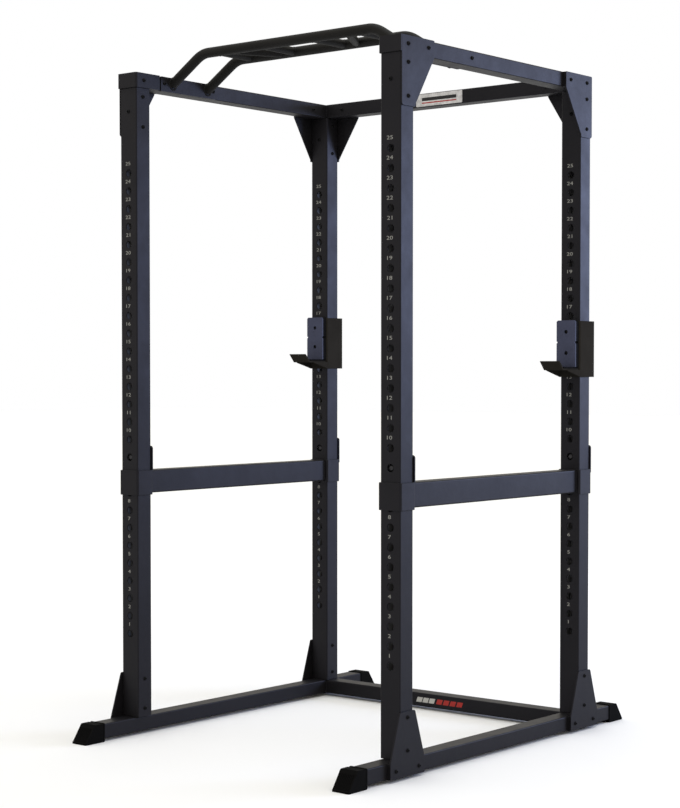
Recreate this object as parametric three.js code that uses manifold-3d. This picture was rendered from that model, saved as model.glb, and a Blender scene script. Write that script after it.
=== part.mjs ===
// Power cage: four perforated uprights on two base runners, tied by top beams, with a multi-grip
// pull-up bar, two height-adjustable safety rails locked by pull pins, and two J-hooks for a barbell.
// Millimetres. +X is the user's right seen from the front, +Y points to the rear, +Z is up.
// The origin is on the floor, under the middle of the cage.

import * as THREE from 'three';
import { mergeVertices } from 'three/addons/utils/BufferGeometryUtils.js';
import Module from 'manifold-3d';

// ---------------------------------------------------------------- driving dimensions

const CAGE_WIDTH = 1196;
const CAGE_DEPTH = 1064;
const POST_WIDTH = 76;
const POST_DEPTH = 64;
const POST_WALL = 3;
const TUBE_WIDTH = 60;
const TUBE_HEIGHT = 50;
const TUBE_WALL = 3;
const GAP = 0.3;

const BASE_BOTTOM = 10;
const BASE_TOP = BASE_BOTTOM + TUBE_HEIGHT;
const CAGE_TOP = 2240;
const BEAM_BOTTOM = CAGE_TOP - TUBE_HEIGHT;

const HOLE_PITCH = 60;
const HOLE_COUNT = 27;
const HOLE_RADIUS = 12.5;
const FIRST_HOLE = 344;
const PIN_HOLE_INDEX = 10;
const HOOK_HOLE_INDEX = 17;

const PLATE = 5;
const GUSSET_REACH = 98;
const GUSSET_DROP = 210;
const GUSSET_LAP = 3;
const GUSSET_STEP = 8;
const GUSSET_SHOULDER = 2;
const BASE_GUSSET_TOP = 208;
const BASE_GUSSET_HALF = 85;
const BASE_GUSSET_TIP = 37;

const HEAD_RADIUS = 6.5;
const HEAD_HEIGHT = 4.5;
const HEAD_SIDES = 10;
const BEAM_BOLT_Z = 2215;
const TOP_BOLTS_Z = [2160, 2059];
const BEAM_BOLT_REACH = 69;
const BASE_BOLTS_Z = [190, 89];
const RUNNER_BOLT_Z = 34;
const RUNNER_BOLT_OFFSET = 57;

const COLLAR_LEG = 107;
const MOUNT_LENGTH = 278;
const MOUNT_CENTRE_Y = -276;

const FOOT_BACK = 682;
const FOOT_FRONT = 771;
const FOOT_SLOPE = 43;
const FOOT_WALL = 3;
const FOOT_POCKET = 40;

const BAR_RADIUS = 16.85;
const GRIP_RADIUS = 14.2;
const BAR_CENTRE_Y = -269;
const BAR_SPACING = 172;
const BAR_HEIGHT = 2309;
const BAR_LEFT = { knee: 384, end: 2220 };
const BAR_RIGHT = { knee: 362, end: 2211 };
const BAR_BEND = 28;
const BAR_OVERRUN = 30;
const BAR_STEPS = 44;
const BAR_SIDES = 12;
const GRIP_CENTRE_X = -8;
const GRIPS = [['inner', 105, 110], ['angled', 258, 156], ['outer', 300, 303]];
const TRIM_LENGTH = 100;
const TRIM_HALF = 50;
const COPE_LENGTH = 800;
const COPE_SIDES = 16;

const RAIL_WIDTH = 60;
const RAIL_HEIGHT = 78;
const RAIL_BOTTOM = 821;
const SLEEVE_BOTTOM = 816;
const SLEEVE_HEIGHT = 84;
const SLEEVE_PLATE_TOP = 982;
const SLEEVE_CLEARANCE = 0.5;
const PIN_RADIUS = 10;
const PIN_BORE = 10.3;
const BARREL_RADIUS = 15;
const BARREL_LENGTH = 12;
const KNOB_RADIUS = 13;
const KNOB_LENGTH = 18;
const PIN_TIP_INSET = 4;
const SLEEVE_PLATE_LAP = 10;
const ROUND_SIDES = 16;
const HOLE_SIDES = 8;

const PAD_HEIGHT = 150;
const PAD_THICKNESS = 20;
const PAD_CHAMFER = 5;
const PAD_NOTCH = 4;
const HOOK_PLATE = 6;
const HOOK_TOP = 73;
const HOOK_BOTTOM = -118;
const HOOK_BEHIND = 20;
const TRAY_BOTTOM = -95;
const TRAY_THICKNESS = 6;
const TRAY_FRONT = 104;
const TRAY_BEND = 3;
const LIP_RUN = 27;
const LIP_RISE = 31;
const LIP_THICKNESS = 7;
const LINER_THICKNESS = 5;
const LINER_INSET = 2;
const LINER_FRONT = 94;
const RIB_FRONT = 82;
const RIB_NOSE = 3;
const STUD_RADIUS = 11;
const STUD_LENGTH = 48;

const NAME_PLATE_WIDTH = 205;
const NAME_PLATE_HEIGHT = 44;
const NAME_PLATE_THICKNESS = 1.5;

// ---------------------------------------------------------------- materials

const SLATE = { color: 0x2b2c38, roughness: 0.5, metalness: 0.35 };
const BLACK = { color: 0x151515, roughness: 0.6, metalness: 0.2 };
const RUBBER = { color: 0x101012, roughness: 0.9, metalness: 0.0 };
const PAD = { color: 0x34353f, roughness: 0.6, metalness: 0.0 };
const STEEL = { color: 0x9a9a9e, roughness: 0.35, metalness: 1.0 };

// ---------------------------------------------------------------- solids

const wasm = await Module();
wasm.setup();

const cage = new THREE.Group();

function toSolid(geometry) {
  const bare = geometry.clone();
  bare.deleteAttribute('normal');
  bare.deleteAttribute('uv');
  const merged = mergeVertices(bare, 1e-4);
  return new wasm.Manifold(new wasm.Mesh({
    numProp: 3,
    vertProperties: new Float32Array(merged.attributes.position.array),
    triVerts: new Uint32Array(merged.index.array),
  }));
}

function toGeometry(solid) {
  const mesh = solid.getMesh();
  const geometry = new THREE.BufferGeometry();
  geometry.setAttribute('position', new THREE.BufferAttribute(new Float32Array(mesh.vertProperties), 3));
  geometry.setIndex(new THREE.BufferAttribute(new Uint32Array(mesh.triVerts), 1));
  geometry.computeVertexNormals();
  return geometry;
}

// A block between two opposite corners.
function block(low, high) {
  const geometry = new THREE.BoxGeometry(high[0] - low[0], high[1] - low[1], high[2] - low[2]);
  geometry.translate((low[0] + high[0]) / 2, (low[1] + high[1]) / 2, (low[2] + high[2]) / 2);
  return toSolid(geometry);
}

// A round bar along +Y.
function barAlongY(radius, x, z, yFrom, yTo, sides) {
  const geometry = new THREE.CylinderGeometry(radius, radius, yTo - yFrom, sides);
  geometry.translate(0, (yFrom + yTo) / 2, 0);
  geometry.translate(x, 0, z);
  return toSolid(geometry);
}

// A round bolt head standing on a plate, its axis along +X.
function headAlongX(xFrom, xTo, y, z) {
  const geometry = new THREE.CylinderGeometry(HEAD_RADIUS, HEAD_RADIUS, xTo - xFrom, HEAD_SIDES);
  geometry.rotateZ(Math.PI / 2);
  geometry.translate((xFrom + xTo) / 2, y, z);
  return toSolid(geometry);
}

// A flat plate with an outline in the YZ plane, given by [y, z] points, between two X values.
function plateYZ(outline, xFrom, xTo) {
  const shape = new THREE.Shape(outline.map(([y, z]) => new THREE.Vector2(y, z)));
  const geometry = new THREE.ExtrudeGeometry(shape, { depth: xTo - xFrom, bevelEnabled: false });
  geometry.applyMatrix4(new THREE.Matrix4().set(0, 0, 1, xFrom, 1, 0, 0, 0, 0, 1, 0, 0, 0, 0, 0, 1));
  return toSolid(geometry);
}

// A flat plate with an outline in the XZ plane, given by [x, z] points, between two Y values.
function plateXZ(outline, yFrom, yTo) {
  const shape = new THREE.Shape(outline.map(([x, z]) => new THREE.Vector2(x, z)));
  const geometry = new THREE.ExtrudeGeometry(shape, { depth: yTo - yFrom, bevelEnabled: false });
  geometry.applyMatrix4(new THREE.Matrix4().set(1, 0, 0, 0, 0, 0, -1, yTo, 0, 1, 0, 0, 0, 0, 0, 1));
  return toSolid(geometry);
}

// A rectangular tube, open at both ends, along one axis (0, 1 or 2).
function boxTube(low, high, wall, axis) {
  const innerLow = low.map((v, i) => (i === axis ? v - 1 : v + wall));
  const innerHigh = high.map((v, i) => (i === axis ? v + 1 : v - wall));
  return block(low, high).subtract(block(innerLow, innerHigh));
}

// A round bar along a path of straight and curved pieces.
function barAlong(path, radius, steps, sides) {
  const section = new THREE.Shape();
  for (let i = 0; i < sides; i += 1) {
    const angle = (2 * Math.PI * i) / sides;
    const point = [radius * Math.cos(angle), radius * Math.sin(angle)];
    if (i === 0) section.moveTo(...point);
    else section.lineTo(...point);
  }
  section.closePath();
  return toSolid(new THREE.ExtrudeGeometry(section, { steps, extrudePath: path, bevelEnabled: false }));
}

function addPart(name, solid, finish) {
  const mesh = new THREE.Mesh(toGeometry(solid), new THREE.MeshStandardMaterial(finish));
  mesh.name = name;
  cage.add(mesh);
}

// ---------------------------------------------------------------- places

const OUTER_X = CAGE_WIDTH / 2;
const OUTER_Y = CAGE_DEPTH / 2;
const POST_X = OUTER_X - POST_WIDTH / 2;
const POST_Y = OUTER_Y - POST_DEPTH / 2;
const TUBE_INSET = (POST_WIDTH - TUBE_WIDTH) / 2;
const TUBE_OUT = OUTER_X - TUBE_INSET;
const TUBE_IN = TUBE_OUT - TUBE_WIDTH;
const INNER_X = OUTER_X - POST_WIDTH;

const SIDES = [['left', -1], ['right', 1]];
const ENDS = [['front', -1], ['rear', 1]];

// Mirror a span of X values to one side of the cage and put them in rising order.
function span(side, a, b) {
  const pair = [side * a, side * b];
  return pair.sort((p, q) => p - q);
}

// ---------------------------------------------------------------- uprights and tubes

function upright(side, end) {
  const [x0, x1] = span(side, INNER_X, OUTER_X);
  const [y0, y1] = span(end, OUTER_Y - POST_DEPTH, OUTER_Y);
  let solid = boxTube([x0, y0, BASE_TOP + GAP], [x1, y1, BEAM_BOTTOM - GAP], POST_WALL, 2);
  for (let i = 0; i < HOLE_COUNT; i += 1) {
    const z = FIRST_HOLE + i * HOLE_PITCH;
    solid = solid.subtract(barAlongY(HOLE_RADIUS, side * POST_X, z, y0 - 1, y1 + 1, HOLE_SIDES));
  }
  return solid;
}

function baseRunner(side) {
  const [x0, x1] = span(side, TUBE_IN, TUBE_OUT);
  const end = FOOT_BACK + FOOT_POCKET;
  let solid = boxTube([x0, -end, BASE_BOTTOM], [x1, end, BASE_TOP], TUBE_WALL, 1);
  const [p0, p1] = span(side, TUBE_OUT - 1, OUTER_X - GAP);
  for (const [, sign] of ENDS) {
    const [y0, y1] = span(sign, POST_Y - BASE_GUSSET_HALF, POST_Y + BASE_GUSSET_HALF);
    solid = solid.add(block([p0, y0, BASE_BOTTOM], [p1, y1, BASE_TOP]));
  }
  return solid;
}

function topSideBeam(side) {
  const [x0, x1] = span(side, TUBE_IN, TUBE_OUT);
  let solid = boxTube([x0, -OUTER_Y, BEAM_BOTTOM], [x1, OUTER_Y, CAGE_TOP], TUBE_WALL, 1);
  const packer = GUSSET_REACH + POST_DEPTH;
  const [p0, p1] = span(side, TUBE_OUT - 1, OUTER_X - GAP);
  for (const [, sign] of ENDS) {
    const [y0, y1] = span(sign, OUTER_Y - packer, OUTER_Y);
    solid = solid.add(block([p0, y0, BEAM_BOTTOM], [p1, y1, CAGE_TOP]));
  }
  const [q0, q1] = span(side, INNER_X + GAP, TUBE_IN + 1);
  return solid.add(block([q0, -OUTER_Y, BEAM_BOTTOM], [q1, -OUTER_Y + COLLAR_LEG, CAGE_TOP]));
}

for (const [sideName, side] of SIDES) {
  for (const [endName, end] of ENDS) {
    addPart(`upright_${endName}_${sideName}`, upright(side, end), SLATE);
  }
  addPart(`base_runner_${sideName}`, baseRunner(side), SLATE);
  addPart(`top_beam_${sideName}`, topSideBeam(side), SLATE);
}

const CROSS_HALF = TUBE_IN - GAP;
const CROSS_Y = [OUTER_Y - TUBE_WIDTH, OUTER_Y - GAP];
addPart('top_beam_rear', boxTube(
  [-CROSS_HALF, CROSS_Y[0], BEAM_BOTTOM], [CROSS_HALF, CROSS_Y[1], CAGE_TOP], TUBE_WALL, 0,
), SLATE);
addPart('base_tube_rear', boxTube(
  [-CROSS_HALF, CROSS_Y[0], BASE_BOTTOM], [CROSS_HALF, CROSS_Y[1], BASE_TOP], TUBE_WALL, 0,
), SLATE);

// ---------------------------------------------------------------- feet

// A rubber shoe over each end of a base runner, with a raked toe.
function foot(side, end) {
  const grow = FOOT_WALL;
  const [x0, x1] = span(side, TUBE_IN - grow, TUBE_OUT + grow);
  const top = BASE_TOP + grow;
  const outline = [
    [end * FOOT_BACK, 0],
    [end * FOOT_FRONT, 0],
    [end * (FOOT_FRONT - FOOT_SLOPE), top],
    [end * FOOT_BACK, top],
  ];
  if (end < 0) outline.reverse();
  const [y0, y1] = span(end, FOOT_BACK - 1, FOOT_BACK + FOOT_POCKET + GAP);
  const [t0, t1] = span(side, TUBE_IN - GAP, TUBE_OUT + GAP);
  const pocket = block([t0, y0, BASE_BOTTOM - GAP], [t1, y1, BASE_TOP + GAP]);
  return plateYZ(outline, x0, x1).subtract(pocket);
}

for (const [sideName, side] of SIDES) {
  for (const [endName, end] of ENDS) {
    addPart(`foot_${endName}_${sideName}`, foot(side, end), RUBBER);
  }
}

// ---------------------------------------------------------------- gusset plates

// Side plate at the top: square to the upright's outer edge, tapering from the beam to the upright.
function topSideGusset(side, end) {
  const inner = OUTER_Y - POST_DEPTH;
  const outline = [
    [OUTER_Y, CAGE_TOP],
    [inner - GUSSET_REACH, CAGE_TOP],
    [inner - GUSSET_REACH, BEAM_BOTTOM - GUSSET_SHOULDER],
    [inner - GUSSET_LAP, CAGE_TOP - GUSSET_DROP + GUSSET_STEP],
    [inner - GUSSET_LAP, CAGE_TOP - GUSSET_DROP],
    [OUTER_Y, CAGE_TOP - GUSSET_DROP],
  ].map(([y, z]) => [end * y, z]);
  if (end < 0) outline.reverse();
  const plate = plateYZ(outline, ...span(side, OUTER_X, OUTER_X + PLATE));
  const bolts = [[POST_Y, BEAM_BOLT_Z], [inner - BEAM_BOLT_REACH, BEAM_BOLT_Z]];
  TOP_BOLTS_Z.forEach((z) => bolts.push([POST_Y, z]));
  return addHeads(plate, side, bolts.map(([y, z]) => [end * y, z]));
}

// Bolt heads at [y, z] points on the outer face of a side plate.
function addHeads(plate, side, points) {
  let solid = plate;
  const [x0, x1] = span(side, OUTER_X + PLATE - 1, OUTER_X + PLATE + HEAD_HEIGHT);
  for (const [y, z] of points) {
    solid = solid.add(headAlongX(x0, x1, y, z));
  }
  return solid;
}

// Rear plate at the top, tying the rear beam to the upright.
function topRearGusset(side) {
  const outline = [
    [OUTER_X, CAGE_TOP],
    [INNER_X - GUSSET_REACH, CAGE_TOP],
    [INNER_X - GUSSET_REACH, BEAM_BOTTOM - GUSSET_SHOULDER],
    [INNER_X - GUSSET_LAP, CAGE_TOP - GUSSET_DROP + GUSSET_STEP],
    [INNER_X - GUSSET_LAP, CAGE_TOP - GUSSET_DROP],
    [OUTER_X, CAGE_TOP - GUSSET_DROP],
  ].map(([x, z]) => [side * x, z]);
  if (side < 0) outline.reverse();
  let solid = plateXZ(outline, OUTER_Y + GAP, OUTER_Y + GAP + PLATE);
  const bolts = [[POST_X, BEAM_BOLT_Z], [INNER_X - BEAM_BOLT_REACH, BEAM_BOLT_Z]];
  TOP_BOLTS_Z.forEach((z) => bolts.push([POST_X, z]));
  const face = OUTER_Y + GAP + PLATE;
  for (const [x, z] of bolts) {
    solid = solid.add(barAlongY(HEAD_RADIUS, side * x, z, face - 1, face + HEAD_HEIGHT, HEAD_SIDES));
  }
  return solid;
}

// Side plate at the base, wide on the runner and narrow on the upright.
function baseGusset(side, end) {
  const y = end * POST_Y;
  const outline = [
    [y - BASE_GUSSET_HALF, BASE_BOTTOM],
    [y + BASE_GUSSET_HALF, BASE_BOTTOM],
    [y + BASE_GUSSET_HALF, BASE_TOP - GUSSET_SHOULDER],
    [y + BASE_GUSSET_TIP, BASE_GUSSET_TOP],
    [y - BASE_GUSSET_TIP, BASE_GUSSET_TOP],
    [y - BASE_GUSSET_HALF, BASE_TOP - GUSSET_SHOULDER],
  ];
  const plate = plateYZ(outline, ...span(side, OUTER_X, OUTER_X + PLATE));
  const bolts = [[y - RUNNER_BOLT_OFFSET, RUNNER_BOLT_Z], [y + RUNNER_BOLT_OFFSET, RUNNER_BOLT_Z]];
  BASE_BOLTS_Z.forEach((z) => bolts.push([y, z]));
  return addHeads(plate, side, bolts);
}

// Bent plate round the beam's front end: a front leaf and an inner leaf.
function frontCollar(side) {
  const [x0, x1] = span(side, INNER_X - PLATE, OUTER_X + PLATE);
  const front = block([x0, -OUTER_Y - GAP - PLATE, BEAM_BOTTOM], [x1, -OUTER_Y - GAP, CAGE_TOP]);
  const [q0, q1] = span(side, INNER_X - PLATE, INNER_X);
  const leaf = block([q0, -OUTER_Y - GAP - PLATE / 2, BEAM_BOTTOM], [q1, -OUTER_Y + COLLAR_LEG, CAGE_TOP]);
  return front.add(leaf);
}

for (const [sideName, side] of SIDES) {
  for (const [endName, end] of ENDS) {
    addPart(`top_gusset_${endName}_${sideName}`, topSideGusset(side, end), SLATE);
    addPart(`base_gusset_${endName}_${sideName}`, baseGusset(side, end), SLATE);
  }
  addPart(`rear_gusset_${sideName}`, topRearGusset(side), SLATE);
  addPart(`front_collar_${sideName}`, frontCollar(side), SLATE);
}

// ---------------------------------------------------------------- pull-up bar

const BAR_FRONT_Y = BAR_CENTRE_Y - BAR_SPACING / 2;
const BAR_REAR_Y = BAR_CENTRE_Y + BAR_SPACING / 2;

function mountPlate(side) {
  const [x0, x1] = span(side, INNER_X, TUBE_IN - GAP);
  const half = MOUNT_LENGTH / 2;
  return block([x0, MOUNT_CENTRE_Y - half, BEAM_BOTTOM], [x1, MOUNT_CENTRE_Y + half, CAGE_TOP]);
}

// The points of one end of a bar, from past its mounting plate to the level middle: the two ends
// rise at slightly different angles, so the level part sits a little left of the cage's middle.
function barEnd(side, { knee, end }, y) {
  const slope = (BAR_HEIGHT - end) / (INNER_X - knee);
  const point = (x, z) => new THREE.Vector3(side * x, y, z);
  return [
    point(INNER_X + BAR_OVERRUN, end - BAR_OVERRUN * slope),
    point(knee + BAR_BEND, BAR_HEIGHT - BAR_BEND * slope),
    point(knee, BAR_HEIGHT),
    point(knee - BAR_BEND, BAR_HEIGHT),
  ];
}

// One bar of the pair: it rises from each mounting plate, bends, and runs level between.
function pullUpBar(y) {
  const left = barEnd(-1, BAR_LEFT, y);
  const right = barEnd(1, BAR_RIGHT, y);
  const path = new THREE.CurvePath();
  path.add(new THREE.LineCurve3(left[0], left[1]));
  path.add(new THREE.QuadraticBezierCurve3(left[1], left[2], left[3]));
  path.add(new THREE.LineCurve3(left[3], right[3]));
  path.add(new THREE.QuadraticBezierCurve3(right[3], right[2], right[1]));
  path.add(new THREE.LineCurve3(right[1], right[0]));
  let solid = barAlong(path, BAR_RADIUS, BAR_STEPS, BAR_SIDES);
  for (const [, side] of SIDES) {
    const [x0, x1] = span(side, INNER_X - GAP, INNER_X + TRIM_LENGTH);
    const low = [x0, y - TRIM_HALF, BEAM_BOTTOM - TRIM_LENGTH];
    const high = [x1, y + TRIM_HALF, CAGE_TOP + TRIM_LENGTH];
    solid = solid.subtract(block(low, high));
  }
  return solid;
}

// A hand grip between the two bars, its ends coped to fit round them.
function grip(xFront, xRear) {
  const path = new THREE.LineCurve3(
    new THREE.Vector3(xFront, BAR_FRONT_Y, BAR_HEIGHT), new THREE.Vector3(xRear, BAR_REAR_Y, BAR_HEIGHT),
  );
  let solid = barAlong(path, GRIP_RADIUS, 1, BAR_SIDES);
  for (const y of [BAR_FRONT_Y, BAR_REAR_Y]) {
    const cope = BAR_RADIUS + GAP;
    const cutter = new THREE.CylinderGeometry(cope, cope, COPE_LENGTH, COPE_SIDES);
    cutter.rotateZ(Math.PI / 2);
    cutter.translate(0, y, BAR_HEIGHT);
    solid = solid.subtract(toSolid(cutter));
  }
  return solid;
}

addPart('pull_up_bar_front', pullUpBar(BAR_FRONT_Y), BLACK);
addPart('pull_up_bar_rear', pullUpBar(BAR_REAR_Y), BLACK);
for (const [sideName, side] of SIDES) {
  addPart(`pull_up_mount_${sideName}`, mountPlate(side), SLATE);
  for (const [gripName, xFront, xRear] of GRIPS) {
    const [front, rear] = [GRIP_CENTRE_X + side * xFront, GRIP_CENTRE_X + side * xRear];
    addPart(`grip_${gripName}_${sideName}`, grip(front, rear), BLACK);
  }
}

// ---------------------------------------------------------------- blank name plate

const NAME_Y = CROSS_Y[0] - GAP;
const NAME_Z = (BEAM_BOTTOM + CAGE_TOP) / 2;
addPart('blank_name_plate', block(
  [-NAME_PLATE_WIDTH / 2, NAME_Y - NAME_PLATE_THICKNESS, NAME_Z - NAME_PLATE_HEIGHT / 2],
  [NAME_PLATE_WIDTH / 2, NAME_Y, NAME_Z + NAME_PLATE_HEIGHT / 2],
), STEEL);

// ---------------------------------------------------------------- safety rails

const PIN_Z = FIRST_HOLE + PIN_HOLE_INDEX * HOLE_PITCH;

// Four-sided sleeve round an upright, with a tall rear plate that carries the pull-pin barrel.
function sleeve(side, end) {
  const clear = SLEEVE_CLEARANCE;
  const x = side * POST_X;
  const y = end * POST_Y;
  const innerX = POST_WIDTH / 2 + clear;
  const innerY = POST_DEPTH / 2 + clear;
  const outerX = innerX + PLATE;
  const outerY = innerY + PLATE;
  const top = SLEEVE_BOTTOM + SLEEVE_HEIGHT;
  const outer = block([x - outerX, y - outerY, SLEEVE_BOTTOM], [x + outerX, y + outerY, top]);
  const inner = block([x - innerX, y - innerY, SLEEVE_BOTTOM - 1], [x + innerX, y + innerY, top + 1]);
  const tall = block(
    [x - outerX, y + innerY, top - SLEEVE_PLATE_LAP], [x + outerX, y + outerY, SLEEVE_PLATE_TOP],
  );
  const barrelEnd = y + outerY + BARREL_LENGTH;
  const barrel = barAlongY(BARREL_RADIUS, x, PIN_Z, y + innerY + 1, barrelEnd, ROUND_SIDES);
  const bore = barAlongY(PIN_BORE, x, PIN_Z, y, barrelEnd + 1, ROUND_SIDES);
  return outer.subtract(inner).add(tall).add(barrel).subtract(bore);
}

function lockPin(side, end) {
  const x = side * POST_X;
  const y = end * POST_Y;
  const barrelEnd = y + POST_DEPTH / 2 + SLEEVE_CLEARANCE + PLATE + BARREL_LENGTH;
  const tip = y - POST_DEPTH / 2 + PIN_TIP_INSET;
  const shank = barAlongY(PIN_RADIUS, x, PIN_Z, tip, barrelEnd + KNOB_LENGTH / 2, ROUND_SIDES);
  const knob = barAlongY(
    KNOB_RADIUS, x, PIN_Z, barrelEnd + GAP, barrelEnd + KNOB_LENGTH, ROUND_SIDES,
  );
  return shank.add(knob);
}

function safetyRail(side) {
  const [x0, x1] = [side * POST_X - RAIL_WIDTH / 2, side * POST_X + RAIL_WIDTH / 2];
  const half = POST_Y - POST_DEPTH / 2 - SLEEVE_CLEARANCE - PLATE - GAP;
  return boxTube([x0, -half, RAIL_BOTTOM], [x1, half, RAIL_BOTTOM + RAIL_HEIGHT], TUBE_WALL, 1);
}

for (const [sideName, side] of SIDES) {
  addPart(`safety_rail_${sideName}`, safetyRail(side), SLATE);
  for (const [endName, end] of ENDS) {
    addPart(`safety_sleeve_${endName}_${sideName}`, sleeve(side, end), SLATE);
    addPart(`lock_pin_${endName}_${sideName}`, lockPin(side, end), STEEL);
  }
}

// ---------------------------------------------------------------- J-hooks

const HOOK_Z = FIRST_HOLE + HOOK_HOLE_INDEX * HOLE_PITCH;
const HALF_STEP = HOLE_PITCH / 2;
const HOOK_FACE_Y = OUTER_Y - POST_DEPTH;

// The steel channel of a J-hook: a front plate, two side plates round the upright, and two ribs
// under the tray.
function hookBracket(side, z) {
  const x = side * POST_X;
  const halfIn = POST_WIDTH / 2 + SLEEVE_CLEARANCE;
  const halfOut = halfIn + PLATE;
  const plateBack = HOOK_FACE_Y - SLEEVE_CLEARANCE;
  const plateFront = plateBack - HOOK_PLATE;
  const front = block(
    [x - halfOut + 1, plateFront, z + HOOK_BOTTOM],
    [x + halfOut - 1, plateBack, z + HOOK_TOP],
  );
  const ribTop = z + TRAY_BOTTOM - GAP;
  const outline = [
    [OUTER_Y + HOOK_BEHIND, z + HOOK_BOTTOM],
    [OUTER_Y + HOOK_BEHIND, z + HOOK_TOP],
    [plateFront, z + HOOK_TOP],
    [plateFront, ribTop],
    [HOOK_FACE_Y - RIB_FRONT, ribTop],
    [HOOK_FACE_Y - RIB_FRONT, ribTop - RIB_NOSE],
    [plateFront, z + HOOK_BOTTOM],
  ];
  const left = plateYZ(outline, x - halfOut, x - halfIn);
  const right = plateYZ(outline, x + halfIn, x + halfOut);
  return front.add(left).add(right);
}

// The tray that holds the bar, with a raked lip at its front.
function hookTray(side, z) {
  const x = side * POST_X;
  const half = POST_WIDTH / 2;
  const back = HOOK_FACE_Y - SLEEVE_CLEARANCE - HOOK_PLATE - GAP;
  const low = z + TRAY_BOTTOM;
  const high = low + TRAY_THICKNESS;
  const outline = [
    [back, low],
    [back, high],
    [HOOK_FACE_Y - TRAY_FRONT + TRAY_BEND, high],
    [HOOK_FACE_Y - TRAY_FRONT - LIP_RUN + LIP_THICKNESS, low + LIP_RISE],
    [HOOK_FACE_Y - TRAY_FRONT - LIP_RUN, low + LIP_RISE],
    [HOOK_FACE_Y - TRAY_FRONT, low],
  ];
  return plateYZ(outline, x - half, x + half);
}

// Hard plastic block that guards the bar from the front plate, with a finger notch on each edge.
function hookPad(side, z) {
  const x = side * POST_X;
  const half = POST_WIDTH / 2;
  const back = HOOK_FACE_Y - SLEEVE_CLEARANCE - HOOK_PLATE - GAP;
  const low = z + TRAY_BOTTOM + TRAY_THICKNESS + LINER_THICKNESS + 2 * GAP;
  const high = z + PAD_HEIGHT / 2;
  const cut = PAD_CHAMFER;
  const notch = PAD_NOTCH;
  const outline = [
    [x - half, low], [x + half, low],
    [x + half, z - notch], [x + half - notch, z], [x + half, z + notch],
    [x + half, high - cut], [x + half - cut, high], [x - half + cut, high], [x - half, high - cut],
    [x - half, z + notch], [x - half + notch, z], [x - half, z - notch],
  ];
  return plateXZ(outline, back - PAD_THICKNESS, back);
}

function hookLiner(side, z) {
  const x = side * POST_X;
  const half = POST_WIDTH / 2 - LINER_INSET;
  const back = HOOK_FACE_Y - SLEEVE_CLEARANCE - HOOK_PLATE - GAP;
  const low = z + TRAY_BOTTOM + TRAY_THICKNESS + GAP;
  return block([x - half, HOOK_FACE_Y - LINER_FRONT, low], [x + half, back, low + LINER_THICKNESS]);
}

function hookStud(side) {
  const back = HOOK_FACE_Y - SLEEVE_CLEARANCE + GAP;
  return barAlongY(STUD_RADIUS, side * POST_X, HOOK_Z, back, back + STUD_LENGTH, ROUND_SIDES);
}

// The right hook's stud is in its upper socket, so that hook sits half a step lower.
const HOOK_HEIGHTS = { left: HOOK_Z, right: HOOK_Z - HALF_STEP };
for (const [sideName, side] of SIDES) {
  const z = HOOK_HEIGHTS[sideName];
  addPart(`j_hook_bracket_${sideName}`, hookBracket(side, z), BLACK);
  addPart(`j_hook_tray_${sideName}`, hookTray(side, z), BLACK);
  addPart(`j_hook_pad_${sideName}`, hookPad(side, z), PAD);
  addPart(`j_hook_liner_${sideName}`, hookLiner(side, z), PAD);
  addPart(`j_hook_stud_${sideName}`, hookStud(side), STEEL);
}

export default cage;
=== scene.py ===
"""Looks of the power cage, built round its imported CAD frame.

Lengths in the shape code are in millimetres and become metres when a piece is made. +X is the
user's right seen from the front, +Y points to the rear, +Z is up, and the floor is at Z = 0.
"""

import math

import bmesh
import bpy
from mathutils import Matrix, Vector, noise

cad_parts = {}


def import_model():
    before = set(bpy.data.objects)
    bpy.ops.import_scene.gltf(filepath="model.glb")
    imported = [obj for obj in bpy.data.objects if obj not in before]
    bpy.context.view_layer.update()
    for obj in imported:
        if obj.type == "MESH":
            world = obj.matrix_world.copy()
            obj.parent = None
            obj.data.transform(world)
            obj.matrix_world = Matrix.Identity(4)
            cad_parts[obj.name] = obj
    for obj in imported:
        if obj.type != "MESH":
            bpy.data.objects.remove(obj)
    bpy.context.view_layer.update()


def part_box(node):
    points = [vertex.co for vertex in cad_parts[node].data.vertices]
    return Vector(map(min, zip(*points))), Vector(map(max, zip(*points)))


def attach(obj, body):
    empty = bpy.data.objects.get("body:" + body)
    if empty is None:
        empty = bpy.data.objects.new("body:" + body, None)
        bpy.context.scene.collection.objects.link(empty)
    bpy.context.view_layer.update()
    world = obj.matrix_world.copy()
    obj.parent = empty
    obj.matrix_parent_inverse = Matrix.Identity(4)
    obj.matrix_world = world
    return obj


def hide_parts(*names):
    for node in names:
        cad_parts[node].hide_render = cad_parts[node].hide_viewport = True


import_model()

SIDES = (("left", -1), ("right", 1))
ENDS = (("front", -1), ("rear", 1))
FRAME = "cage_frame"

TUBE = 60.0
WALL = 3.0
TUBE_CORNER = 4.0
PLATE = 5.0
PLATE_CORNER = 5.0
EDGE = 0.9

HOLE_PITCH = 60.0
HOLE_COUNT = 27
FIRST_HOLE = 344.0
HOLE_RADIUS = 12.5
HOLE_CHAMFER = 0.8
INSIDE_MARGIN = 0.05
FACE_BOLT_Z = 2111.0

HEAD_RADIUS = 6.5
HEAD_HEIGHT = 4.4
BEAM_BOLT_Z = 2215.0
TOP_BOLTS_Z = (2160.0, 2059.0)
BASE_BOLTS_Z = (190.0, 89.0)
RUNNER_BOLT_Z = 34.0
RUNNER_BOLT_OFFSET = 57.0
BEAM_BOLT_REACH = 69.0


# ---------------------------------------------------------------- materials


def node_tree(name):
    mat = bpy.data.materials.new(name)
    mat.use_nodes = True
    tree = mat.node_tree
    shader = tree.nodes["Principled BSDF"]
    coords = tree.nodes.new("ShaderNodeTexCoord")
    return mat, tree, shader, coords.outputs["Object"]


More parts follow.
